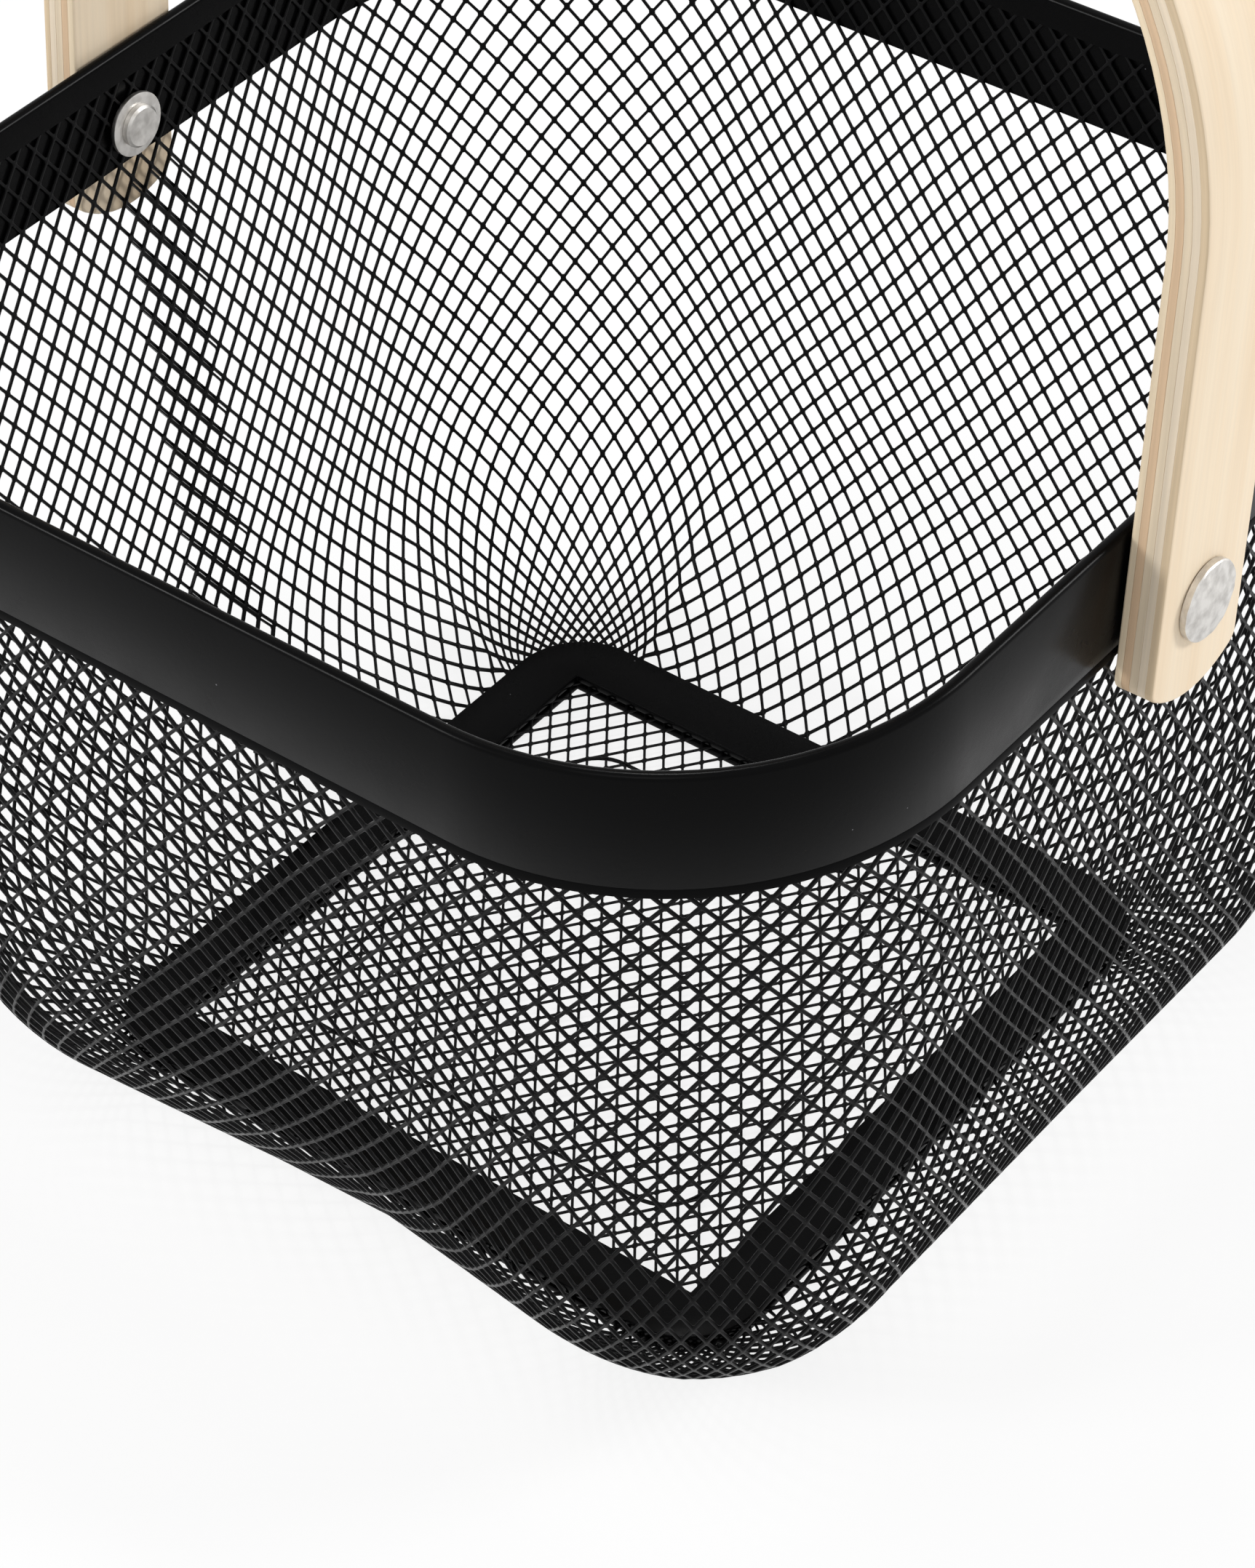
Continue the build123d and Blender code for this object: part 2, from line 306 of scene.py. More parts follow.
coat = {"sheet": (0.0012, 0.0012, 0.0013), "mesh": (0.0028, 0.0028, 0.0030), "speck": (0.16, 0.16, 0.17),
        "sheetSpecular": 0.048, "meshSpecular": 0.085, "sheetRough": (0.20, 0.30),
        "meshRough": (0.28, 0.38), "cloudScale": 35, "cloudLighter": 1.6, "sheenScale": 90,
        "speckScale": 170, "speckSpread": 60, "peelScale": 1100, "peelStrength": 0.22,
        "peelDepth": 0.06 * mm}


def makeCoat(name, colour, rough, specular, speckled):
    # Satin black powder coat: fine orange peel, faint clouding and a few bright specks
    material, tree, shader = newMaterial(name)
    place = placeOn(tree)
    lighter = tuple(channel * coat["cloudLighter"] for channel in colour)
    tint = rampOn(tree, noiseOn(tree, place, coat["cloudScale"], 3), (0.30, colour), (0.75, lighter))
    if speckled:
        cells = addNode(tree, "ShaderNodeTexVoronoi")
        cells.inputs["Scale"].default_value = coat["speckScale"]
        tree.links.new(place, cells.inputs["Vector"])
        dot = rampOn(tree, cells.outputs["Distance"], (0.022, 1.0), (0.034, 0.0))
        chosen = rampOn(tree, noiseOn(tree, place, coat["speckSpread"]), (0.56, 0.0), (0.60, 1.0))
        tint = mixOn(tree, mixOn(tree, 1.0, dot, chosen, "MULTIPLY"), tint, coat["speck"])
    tree.links.new(tint, shader.inputs["Base Color"])
    sheen = noiseOn(tree, place, coat["sheenScale"], 4)
    roughness = rampOn(tree, sheen, (0.35, rough[0]), (0.70, rough[1]))
    tree.links.new(roughness, shader.inputs["Roughness"])
    shader.inputs["Specular IOR Level"].default_value = specular
    peel = noiseOn(tree, place, coat["peelScale"], 2)
    bumpOn(tree, shader, peel, coat["peelStrength"], coat["peelDepth"])
    return material


wood = {"face": (0.795, 0.650, 0.473), "warm": (0.747, 0.577, 0.387), "pale": (0.822, 0.698, 0.531),
        "edges": ((0.648, 0.508, 0.340), (0.745, 0.632, 0.486), (0.702, 0.583, 0.427),
                  (0.648, 0.464, 0.302), (0.756, 0.626, 0.448)),
        "rough": (0.42, 0.58), "specular": 0.28, "broadScale": (7, 150, 60), "fineScale": (28, 1300, 300),
        "streak": 0.38, "pores": 0.25, "poreDepth": 0.10 * mm, "edgeScale": (16, 60, 900), "edgeShift": 3.1,
        "edgeDarker": 0.80, "edgeRough": 0.62, "edgeSpecular": 0.2, "edgeFibres": 0.35,
        "fibreDepth": 0.12 * mm}


def makeBirchFace():
    # Long pale grain along the bend, with warm streaks and fine pores
    material, tree, shader = newMaterial("birchFace")
    broad = noiseOn(tree, placeOn(tree, wood["broadScale"], attribute="grainPlace"), 1.2, 3)
    fine = noiseOn(tree, placeOn(tree, wood["fineScale"], attribute="grainPlace"), 1.0, 3)
    tint = rampOn(tree, broad, (0.28, wood["pale"]), (0.52, wood["face"]), (0.80, wood["warm"]))
    streak = rampOn(tree, fine, (0.30, 0.86), (0.62, 1.0))
    tree.links.new(mixOn(tree, wood["streak"], tint, streak, "MULTIPLY"), shader.inputs["Base Color"])
    roughness = rampOn(tree, fine, (0.3, wood["rough"][0]), (0.7, wood["rough"][1]))
    tree.links.new(roughness, shader.inputs["Roughness"])
    shader.inputs["Specular IOR Level"].default_value = wood["specular"]
    bumpOn(tree, shader, fine, wood["pores"], wood["poreDepth"])
    return material


def makeBirchEdge(number, colour):
    # Cut edge of one veneer: streaks along the hoop
    material, tree, shader = newMaterial(f"birchEdge{number}")
    place = placeOn(tree, wood["edgeScale"], (wood["edgeShift"] * number, 0, 0), "grainPlace")
    streak = noiseOn(tree, place, 1.0, 4)
    darker = tuple(channel * wood["edgeDarker"] for channel in colour)
    tree.links.new(rampOn(tree, streak, (0.30, colour), (0.72, darker)), shader.inputs["Base Color"])
    shader.inputs["Roughness"].default_value = wood["edgeRough"]
    shader.inputs["Specular IOR Level"].default_value = wood["edgeSpecular"]
    bumpOn(tree, shader, streak, wood["edgeFibres"], wood["fibreDepth"])
    return material


steel = {"worn": (0.50, 0.48, 0.455), "bright": (0.74, 0.72, 0.69), "rough": (0.30, 0.52), "wornScale": 420,
         "patchScale": 260, "pits": 0.35, "pitDepth": 0.12 * mm}


def makeBrightSteel():
    # Tumbled rivet steel with soft mottling
    material, tree, shader = newMaterial("brightSteel")
    place = placeOn(tree)
    worn = noiseOn(tree, place, steel["wornScale"], 5)
    tint = rampOn(tree, worn, (0.30, steel["worn"]), (0.62, steel["bright"]))
    tree.links.new(tint, shader.inputs["Base Color"])
    shader.inputs["Metallic"].default_value = 1.0
    patches = noiseOn(tree, place, steel["patchScale"], 4)
    roughness = rampOn(tree, patches, (0.30, steel["rough"][0]), (0.70, steel["rough"][1]))
    tree.links.new(roughness, shader.inputs["Roughness"])
    bumpOn(tree, shader, worn, steel["pits"], steel["pitDepth"])
    return material


nylon = {"dark": (0.020, 0.020, 0.021), "light": (0.034, 0.034, 0.035), "rough": 0.55, "mouldScale": 700}


def makeNylon():
    material, tree, shader = newMaterial("blackNylon")
    moulded = noiseOn(tree, placeOn(tree), nylon["mouldScale"], 2)
    tint = rampOn(tree, moulded, (0.3, nylon["dark"]), (0.7, nylon["light"]))
    tree.links.new(tint, shader.inputs["Base Color"])
    shader.inputs["Roughness"].default_value = nylon["rough"]
    return material


sheetCoat = makeCoat("blackSheetCoat", coat["sheet"], coat["sheetRough"], coat["sheetSpecular"], True)
meshCoat = makeCoat("blackMeshCoat", coat["mesh"], coat["meshRough"], coat["meshSpecular"], False)
birchFace = makeBirchFace()
birchEdges = [makeBirchEdge(index + 1, colour) for index, colour in enumerate(wood["edges"])]
brightSteel = makeBrightSteel()
blackNylon = makeNylon()
print("materials made")

# Diamond mesh: one cell is modelled and repeated to a flat sheet, whose unit is half a diamond
cell = {"openShare": 0.72, "faceShare": 0.80, "cornerCut": 0.09, "wallShare": 0.6, "strand": 0.66 * mm,
        "edge": 0.10 * mm, "gauge": 0.68 * mm, "leastOpen": 0.25, "leastFace": 0.02, "outerShare": 0.95,
        "weld": 0.001, "smooth": 60}


def flareCell(sheet, side):
    # Chamfer round the opening, then the flat face out to the diamond's own corners
    grow = cell["faceShare"] / cell["openShare"]
    editWhere(sheet, "vertices", lambda vertex: vertex.co.z * side > 0)
    pushOut(z=side * (1 - cell["wallShare"]))
    bpy.ops.transform.resize(value=(grow, grow, 1), center_override=(0, 0, 0))
    pushOut()
    leaveEdit()
    for vertex in sheet.data.vertices:
        if vertex.select:
            along = abs(vertex.co.x) > abs(vertex.co.y)
            vertex.co.x = math.copysign(1, vertex.co.x) if along else 0
            vertex.co.y = 0 if along else math.copysign(1, vertex.co.y)


def makeFlatSheet(columns, rows):
    clearSelection()
    bpy.ops.mesh.primitive_circle_add(vertices=4, radius=cell["openShare"], fill_type="NGON")
    sheet = bpy.context.object
    editAll(sheet)
    bpy.ops.mesh.bevel(offset=cell["cornerCut"], affect="VERTICES")
    bpy.ops.mesh.delete(type="ONLY_FACE")
    bpy.ops.mesh.select_all(action="SELECT")
    bpy.ops.transform.translate(value=(0, 0, -cell["wallShare"]))
    pushOut(z=2 * cell["wallShare"])
    leaveEdit()
    for side in (1, -1):
        flareCell(sheet, side)
    tidyShell(sheet, cell["weld"])
    repeats = (("pair", 2, (1, 1, 0)), ("along", columns, (2, 0, 0)), ("down", rows, (0, 2, 0)))
    for name, count, offset in repeats:
        array = sheet.modifiers.new(name, "ARRAY")
        array.count = count
        array.use_relative_offset = False
        array.use_constant_offset = True
        array.constant_offset_displace = offset
    applyModifiers(sheet)
    tidyShell(sheet, cell["weld"])
    return sheet


def flatPoints(piece, kind="vertices", field="co"):
    parts = getattr(piece.data, kind)
    flat = np.empty(len(parts) * 3)
    parts.foreach_get(field, flat)
    return flat.reshape(-1, 3)


def cellOf(points):
    # Middle of the diamond that a flat point lies in, and the point seen from there
    plus = np.round((points[:, 0] + points[:, 1]) / 2)
    minus = np.round((points[:, 0] - points[:, 1]) / 2)
    middle = np.stack([plus + minus, plus - minus], axis=1)
    return middle, points[:, :2] - middle


def keepStrands(points, pitchAcross, pitchUp, strand):
    # Every strand keeps its own width, however narrow its diamonds are
    middle, local = cellOf(points)
    share = np.abs(local).sum(axis=1)
    across, up = pitchAcross(middle), pitchUp(middle)
    inner = across * up / (2 * np.hypot(across, up))
    opened = np.maximum(1 - strand / 2 / inner, cell["leastOpen"])
    faced = np.maximum(1 - (strand / 2 - cell["edge"]) / inner, opened + cell["leastFace"])
    between = (cell["openShare"] + cell["faceShare"]) / 2
    wanted = np.where(share > cell["outerShare"], share, np.where(share > between, faced, opened))
    return middle + local * (wanted / share)[:, None]


def cutCells(sheet, outside):
    # Deletes the diamonds whose middles lie outside, and joins front to back along the new edge
    middle, _ = cellOf(flatPoints(sheet, "polygons", "center"))
    drop = outside(middle)
    editWhere(sheet, "polygons", lambda face: drop[face.index])
    bpy.ops.mesh.delete(type="FACE")
    bpy.ops.mesh.select_mode(type="EDGE")
    bpy.ops.mesh.select_non_manifold(extend=False, use_wire=False, use_boundary=True, use_multi_face=False,
                                     use_non_contiguous=False, use_verts=False)
    bpy.ops.mesh.bridge_edge_loops()
    leaveEdit()


def copyPiece(piece):
    twin = piece.copy()
    twin.data = piece.data.copy()
    bpy.context.scene.collection.objects.link(twin)
    return twin


def setPoints(piece, places):
    piece.data.vertices.foreach_set("co", np.ascontiguousarray(places, dtype=np.float32).ravel())
    piece.data.update()
    editAll(piece)
    bpy.ops.mesh.normals_make_consistent(inside=False)
    leaveEdit()
    smoothEdges(piece, cell["smooth"])


# Wall mesh: flat sheets wrapped round the basket, from under the base ring up into the rim's fold
wall = {"footAngle": 30, "taperAngle": 3.8, "footGap": 2.2 * mm, "flange": 5.5 * mm, "clearance": 0.03 * mm,
        "arcSteps": 160, "step": 0.25 * mm, "tilt": 0.2, "sideColumns": (21.2, 19.7, 21.1, 19.4),
        "cornerColumns": 15.65, "rows": 33, "firstRow": 0.65, "rowParts": 8, "tableColumns": 400,
        "spread": 15}

columnCount = round(sum(wall["sideColumns"]) + 4 * wall["cornerColumns"])


def wallProfile():
    # Middle line of the sheet: lengths from the flange's edge, places and outward normals
    footAngle, topAngle = math.radians(wall["footAngle"]), math.radians(90 - wall["taperAngle"])
    slope = math.tan(math.radians(wall["taperAngle"]))
    foot = ringHigh.x + wall["footGap"]
    reach = wallHigh.x - foot - (rimLow.z - wallLow.z) * slope
    rise = math.cos(footAngle) - math.cos(topAngle)
    radius = reach / (math.sin(topAngle) - math.sin(footAngle) - rise * slope)
    centreX = foot - radius * math.sin(footAngle)
    centreZ = wallLow.z + radius * math.cos(footAngle)
    depth = cell["gauge"] / 2 + wall["clearance"]
    inner = radius - depth
    start = math.acos((centreZ - wallLow.z - depth) / inner)
    angles = np.linspace(start, topAngle, wall["arcSteps"])
    arc = np.stack([centreX + inner * np.sin(angles), centreZ - inner * np.cos(angles)], axis=1)
    line = np.vstack([[ringHigh.x - wall["flange"], wallLow.z + depth], arc,
                      [wallHigh.x - depth, rimLow.z], [wallHigh.x - depth, wallHigh.z]])
    lengths = np.concatenate([[0], np.cumsum(np.linalg.norm(np.diff(line, axis=0), axis=1))])
    even = np.arange(0, lengths[-1], wall["step"])
    line = np.stack([np.interp(even, lengths, line[:, 0]), np.interp(even, lengths, line[:, 1])], axis=1)
    tangent = np.gradient(line, even, axis=0)
    tangent /= np.linalg.norm(tangent, axis=1)[:, None]
    return even, line, np.stack([tangent[:, 1], -tangent[:, 0]], axis=1)


profileLength, profileLine, profileNormal = wallProfile()
wallLength = profileLength[-1]


def columnsPassed():
    # Columns passed at each third of a quarter turn: half a side, a corner, half the next side
    columns = [0.0]
    for quarter in range(4):
        here, after = wall["sideColumns"][quarter], wall["sideColumns"][(quarter + 1) % 4]
        for count in (here / 2, wall["cornerColumns"], after / 2):
            columns.append(columns[-1] + count)
    return np.array(columns)


columnStops = columnsPassed()


def turnsPassed(column):
    # Place round the basket, in thirds of a quarter turn from the middle of the right side
    return np.interp(np.mod(column, columnCount), columnStops, np.arange(len(columnStops)))


def turnsAt(column):
    turns = turnsPassed(column)
    quarter = np.minimum(np.floor(turns / 3), 3)
    return quarter, turns - 3 * quarter


def columnPitch(column, half):
    # Width of one column where the wall stands this far out
    quarter, local = turnsAt(column)
    sides = np.array(wall["sideColumns"])
    number = quarter.astype(int)
    straight = 2 * cornerAxis / np.where(local < 1, sides[number], sides[(number + 1) % 4])
    bend = (half - cornerAxis) * math.pi / 2 / wall["cornerColumns"]
    return np.where((local >= 1) & (local <= 2), bend, straight)


def placeAround(column, half):
    # Point on the rounded square that stands this far out
    quarter, local = turnsAt(column)
    angle = np.clip(local - 1, 0, 1) * math.pi / 2
    x = cornerAxis + (half - cornerAxis) * np.cos(angle) - np.clip(local - 2, 0, 1) * cornerAxis
    y = np.minimum(local, 1) * cornerAxis + (half - cornerAxis) * np.sin(angle)
    cosine, sine = np.cos(quarter * math.pi / 2), np.sin(quarter * math.pi / 2)
    return x * cosine - y * sine, x * sine + y * cosine


# A cell's diagonal at each side's middle and each corner in turn, and how much shorter it gets low down
span = {"lengths": (10.0 * mm, 10.1 * mm, 10.2 * mm, 10.2 * mm, 10.2 * mm, 9.8 * mm, 9.4 * mm, 9.6 * mm),
        "shrinks": (0.05, 0.03, 0.01, 0.02, 0.00, 0.02, 0.04, -0.10), "top": 130 * mm, "depth": 50 * mm}


def strandSpan(columns, lengths):
    places = []
    for side in range(4):
        places += [columnStops[3 * side], (columnStops[3 * side + 1] + columnStops[3 * side + 2]) / 2]
    places.append(columnCount)
    length = np.interp(columns, places, span["lengths"] + span["lengths"][:1])
    shrink = np.interp(columns, places, span["shrinks"] + span["shrinks"][:1])
    return length * (1 - shrink * np.clip((span["top"] - lengths) / span["depth"], 0, 1))


# Where the columns crowd at the foot of the corners, the diamonds are short as well as narrow
crowd = {"width": 2.5 * mm, "height": 3.0 * mm, "gain": 2.8, "least": 2.2 * mm}


def rowTable():
    # Length at each row, from the rim down. A strand keeps its length, so narrow diamonds are tall ones
    columns = np.linspace(0, columnCount, wall["tableColumns"], endpoint=False)
    steps = wall["rows"] * wall["rowParts"]
    lengths = np.zeros((len(columns), steps))
    lengths[:, 0] = wallLength
    wide = wall["spread"]
    spread = np.hanning(2 * wide + 3)[1:-1]
    spread /= spread.sum()
    for index in range(1, steps):
        half = np.interp(lengths[:, index - 1], profileLength, profileLine[:, 0])
        narrow = columnPitch(columns, half)
        height = np.sqrt(np.maximum(strandSpan(columns, lengths[:, index - 1]) ** 2 - narrow ** 2, 0))
        crowded = crowd["height"] + crowd["gain"] * (narrow - crowd["width"])
        height = np.minimum(height, np.maximum(crowded, crowd["least"]))
        height = np.convolve(np.concatenate([height[-wide:], height, height[:wide]]), spread, mode="valid")
        lengths[:, index] = lengths[:, index - 1] - height / wall["rowParts"]
    return lengths


rowLengths = rowTable()


def lengthAt(column, row):
    # Reads the row table between its entries
    count, steps = rowLengths.shape
    x = np.mod(column, columnCount) / columnCount * count
    y = np.clip(row * wall["rowParts"], 0, steps - 1.001)
    left, above = np.floor(x).astype(int), np.floor(y).astype(int)
    x, y = x - left, y - above
    left, right = left % count, (left + 1) % count
    upper = rowLengths[left, above] * (1 - x) + rowLengths[right, above] * x
    lower = rowLengths[left, above + 1] * (1 - x) + rowLengths[right, above + 1] * x
    return upper * (1 - y) + lower * y


# The lattice wanders slowly, as a pressed sheet's does, by a share of a cell, and lies even in the rim
wander = {"reach": 0.04, "fadeRows": 3, "across": ((7, 0.5, 0, 1.0), (3, -0.8, 2, 0.6)),
          "down": ((5, 0.4, 1, 1.0), (9, -0.3, math.pi / 2, 0.5))}
# The columns of the front wall lean towards its right corner, by this much of a column for each row
skew = {"slope": 0.12, "row": 12, "places": (0, 7.0, 8.0, 8.8, 9.6, 10.1, 10.6, 11, 12),
        "shares": (0.0, 0.0, 0.5, 1.0, 1.0, 0.5, -0.1, 0.0, 0.0)}


def drift(column, row):
    # Where a cell of the even lattice lies in the real one
    reach = wander["reach"] * np.clip(row / wander["fadeRows"], 0, 1)
    turn = 2 * math.pi * column / columnCount
    steady = np.clip(row, 0, skew["row"])
    skewed = skew["slope"] * (steady ** 2 / (2 * skew["row"]) + np.maximum(row - skew["row"], 0))
    skewed *= np.interp(turnsPassed(column), skew["places"], skew["shares"])
    across = reach * sumWaves(turn, row, wander["across"])
    down = reach * sumWaves(turn, row, wander["down"])
    return column + across + skewed, row + down


# How far the low wall bulges or is pressed in, in mm, at places in thirds of a quarter turn from +X
bulge = {"places": (0, 1, 2, 3, 7, 7.8, 8.33, 8.82, 9.31, 9.72, 10.08, 10.4, 10.7, 11, 12),
         "reach": (2.0, 2.4, 0.8, 0.0, 0.0, 0.3, -1.6, -3.5, -4.6, -2.3, -0.2, 2.4, 3.2, 2.0, 2.0),
         "low": 6 * mm, "high": 110 * mm, "lean": 0.6}


def bulgeAt(column, length):
    reach = np.interp(turnsPassed(column), bulge["places"], bulge["reach"]) * mm
    share = np.clip((length - bulge["low"]) / (bulge["high"] - bulge["low"]), 0, 1)
    return reach * np.sin(math.pi * share ** bulge["lean"]) ** 2


def wrapSheet(sheet, firstColumn, strand, lowest=0.0, highest=wallLength, inward=0.0, shift=(0, 0)):
    def sheetPlace(flat):
        return drift(firstColumn + flat[:, 0] / 2 + shift[0], wall["firstRow"] + flat[:, 1] / 2 + shift[1])

    def middleLength(middle):
        return lengthAt(*sheetPlace(middle))

    def pitchAcross(middle):
        column, _ = sheetPlace(middle)
        return columnPitch(column, np.interp(middleLength(middle), profileLength, profileLine[:, 0]))

    def pitchUp(middle):
        column, row = sheetPlace(middle)
        return lengthAt(column, row - 0.5) - lengthAt(column, row + 0.5)

    def outside(middle):
        length, tall = middleLength(middle), pitchUp(middle)
        return (length - tall / 2 < lowest) | (length + tall / 2 > highest)

    cutCells(sheet, outside)
    points = flatPoints(sheet)
    column, row = sheetPlace(keepStrands(points, pitchAcross, pitchUp, strand))
    sheared = wall["tilt"] * points[:, 2] * cell["gauge"] / 2
    length = np.clip(lengthAt(column, row) - sheared, 0, wallLength)
    half, height, outX, outZ = (np.interp(length, profileLength, values) for values in
                                (*profileLine.T, *profileNormal.T))
    lift = points[:, 2] * cell["gauge"] / 2 - inward + bulgeAt(column, length)
    x, y = placeAround(column, half + outX * lift)
    setPoints(sheet, np.stack([x, y, height + outZ * lift], axis=1))


flatSheet = makeFlatSheet(columnCount // 4, wall["rows"] - 2)
print("flat sheet:", columnCount, "columns,", len(flatSheet.data.polygons), "faces")
wallPieces = []
for quarter, name in enumerate(("wallMeshRight", "wallMeshBack", "wallMeshLeft", "wallMeshFront")):
    piece = copyPiece(flatSheet)
    wrapSheet(piece, (quarter - 0.5) * columnCount / 4, cell["strand"])
    wallPieces.append(finishPiece(piece, name, "basket", "black_mesh", meshCoat))
bpy.data.objects.remove(flatSheet)

# Seam: the sheet's other end, lapped inside the wall on its left side, with its cells off the wall's own
lap = {"columns": 3, "centre": 5 * mm, "shift": (0.44, 0.0), "strand": 0.82 * mm, "depth": 0.85 * mm,
       "low": 5.4 * mm}
seam = makeFlatSheet(lap["columns"], wall["rows"] - 2)
leftPitch = 2 * cornerAxis / wall["sideColumns"][2]
seamColumn = columnStops[6] - lap["centre"] / leftPitch - lap["columns"] / 2
lapLow = np.interp(lap["low"], profileLine[:, 1], profileLength)
lapHigh = np.interp(rimLow.z, profileLine[:, 1], profileLength)
wrapSheet(seam, seamColumn, lap["strand"], lapLow, lapHigh, lap["depth"], lap["shift"])
wallPieces.append(finishPiece(seam, "wallMeshLap", "basket", "black_mesh", meshCoat))
for piece in wallPieces:
    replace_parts(piece, "wall_mesh")

# Floor mesh: a flat panel between the two rings, with a thin pressed line round it
panel = {"pitchX": 5.4 * mm, "pitchY": 7.2 * mm, "columns": 28, "rows": 21, "radius": 14 * mm,
         "strand": 0.60 * mm, "gauge": 0.50 * mm, "lineHalf": 52.5 * mm, "lineRadius": 10.5 * mm,
         "lineSteps": 10, "lineWidth": 0.45 * mm, "lineEdge": 0.10 * mm, "smooth": 40}


def makeFloor():
    floor = makeFlatSheet(panel["columns"], panel["rows"])
    centre = np.array([panel["columns"] - 0.5, panel["rows"] - 0.5])
    size = np.array([panel["pitchX"], panel["pitchY"]]) / 2

    def outside(middle):
        place = np.abs((middle - centre) * size) + size
        beyond = np.maximum(place - (floorHigh.x - panel["radius"]), 0)
        return np.hypot(*beyond.T) > panel["radius"]

    def pitchAcross(middle):
        return np.full(len(middle), panel["pitchX"])

    def pitchUp(middle):
        return np.full(len(middle), panel["pitchY"])

    cutCells(floor, outside)
    points = flatPoints(floor)
    flat = keepStrands(points, pitchAcross, pitchUp, panel["strand"])
    height = (floorLow.z + floorHigh.z) / 2 + points[:, 2] * panel["gauge"] / 2
    setPoints(floor, np.column_stack([(flat - centre) * size, height]))
    return floor


def makeFloorLine():
    half, wide, low, high = panel["lineHalf"], panel["lineWidth"], floorLow.z, floorHigh.z
    line = drawChain([(half, 0, low), (half, 0, high), (half - wide, 0, high), (half - wide, 0, low)])
    closeChain(line, False)
    carryRound(line, half - panel["lineRadius"], panel["lineSteps"])
    softenEdges(line, panel["lineEdge"])
    smoothEdges(line, panel["smooth"])
    return line


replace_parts(finishPiece(makeFloor(), "floorMesh", "basket", "black_mesh", meshCoat), "floor_mesh")
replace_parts(finishPiece(makeFloorLine(), "floorPressedLine", "basket", "black_mesh", meshCoat),
            "floor_mesh")

# Rim band: one strip folded over the mesh, with a small hem line above its lower edge
rim = {"gauge": 0.8 * mm, "lip": 7 * mm, "fold": 1.2 * mm, "foldInner": 0.4 * mm, "foldSteps": 6,
       "width": 2.6 * mm, "hemHeight": 1.7 * mm, "hemDepth": 0.14 * mm, "hemWidth": 0.5 * mm,
       "cornerSteps": 28, "hole": 2.6 * mm, "smooth": 35}


def makeRim():
    face, top, low, gauge = rimHigh.x, rimHigh.z, rimLow.z, rim["gauge"]
    lipBack, lipLow = face - rim["width"], top - rim["lip"]
    hem, groove = low + rim["hemHeight"], face - rim["hemDepth"]
    outline = [(face, low), (face, hem), (groove, hem + rim["hemWidth"] / 2), (face, hem + rim["hemWidth"]),
               (face, top), (lipBack, top), (lipBack, lipLow), (lipBack + gauge, lipLow),
               (lipBack + gauge, top - gauge), (face - gauge, top - gauge), (face - gauge, low)]
    band = drawChain([(x, 0, z) for x, z in outline])
    closeChain(band, False)
    for height, radius in ((top, rim["fold"]), (top - gauge, rim["foldInner"])):
        editWhere(band, "vertices", lambda vertex: abs(vertex.co.z - height) < touch)
        bpy.ops.mesh.bevel(offset=radius, segments=rim["foldSteps"], affect="VERTICES")
        leaveEdit()
    carryRound(band, cornerAxis, rim["cornerSteps"])
    drillPivot(band, rim["hole"])
    smoothEdges(band, rim["smooth"])
    return band


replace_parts(finishPiece(makeRim(), "rimBand", "basket", "black_steel_sheet", sheetCoat), "rim_band")

# Base ring and foot ring: flat strip frames with rounded outer and sharp inner corners
ring = {"width": 13.5 * mm, "radius": 17 * mm, "edge": 0.3 * mm, "cornerSteps": 12, "smooth": 40}


def makeRing(node):
    low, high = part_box(node)
    inner = high.x - ring["width"]
    clearSelection()
    bpy.ops.mesh.primitive_plane_add(size=2 * high.x, location=(0, 0, high.z))
    strip = bpy.context.object
    bpy.ops.object.transform_apply(location=True)
    editAll(strip)
    bpy.ops.mesh.bevel(offset=ring["radius"], segments=ring["cornerSteps"], affect="VERTICES")
    bpy.ops.mesh.select_all(action="SELECT")
    bpy.ops.mesh.inset(thickness=ring["width"])
    bpy.ops.mesh.delete(type="FACE")
    leaveEdit()
    for vertex in strip.data.vertices:
        if max(abs(vertex.co.x), abs(vertex.co.y)) < inner + touch:
            vertex.co.x = math.copysign(inner, vertex.co.x)
            vertex.co.y = math.copysign(inner, vertex.co.y)
    editAll(strip)
    bpy.ops.mesh.remove_doubles(threshold=weld)
    pushOut(z=low.z - high.z)
    leaveEdit()
    tidyShell(strip)
    softenEdges(strip, ring["edge"])
    smoothEdges(strip, ring["smooth"])
    return strip


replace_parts(finishPiece(makeRing("base_ring"), "baseRing", "basket", "black_steel_sheet", sheetCoat),
            "base_ring")
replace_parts(finishPiece(makeRing("foot_ring"), "footRing", "basket", "black_steel_sheet", sheetCoat),
            "foot_ring")
print("basket made")

# Handle: five birch veneers, each cut out as a leg, spun round the bend and mirrored
handle = {"veneers": 5, "gauge": 1.65 * mm, "half": 14 * mm, "shoulder": 15.5 * mm, "tip": 20.5 * mm,
          "tipSteps": 15, "endBreak": 1.45 * mm, "breakSteps": 5, "legRise": 72 * mm, "bend": 100 * mm,
          "bendSteps": 28, "edge": 0.6 * mm, "edgeSteps": 4, "endReach": 2 * mm, "fineEdge": 0.05 * mm,
          "fineAngle": 50, "lean": 5.5, "bore": 2.55 * mm, "cutHeight": 8 * mm, "smooth": 35}
bendHeight = pivotHeight + handle["legRise"]
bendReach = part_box("handle_ply_1")[1].x - handle["bend"]


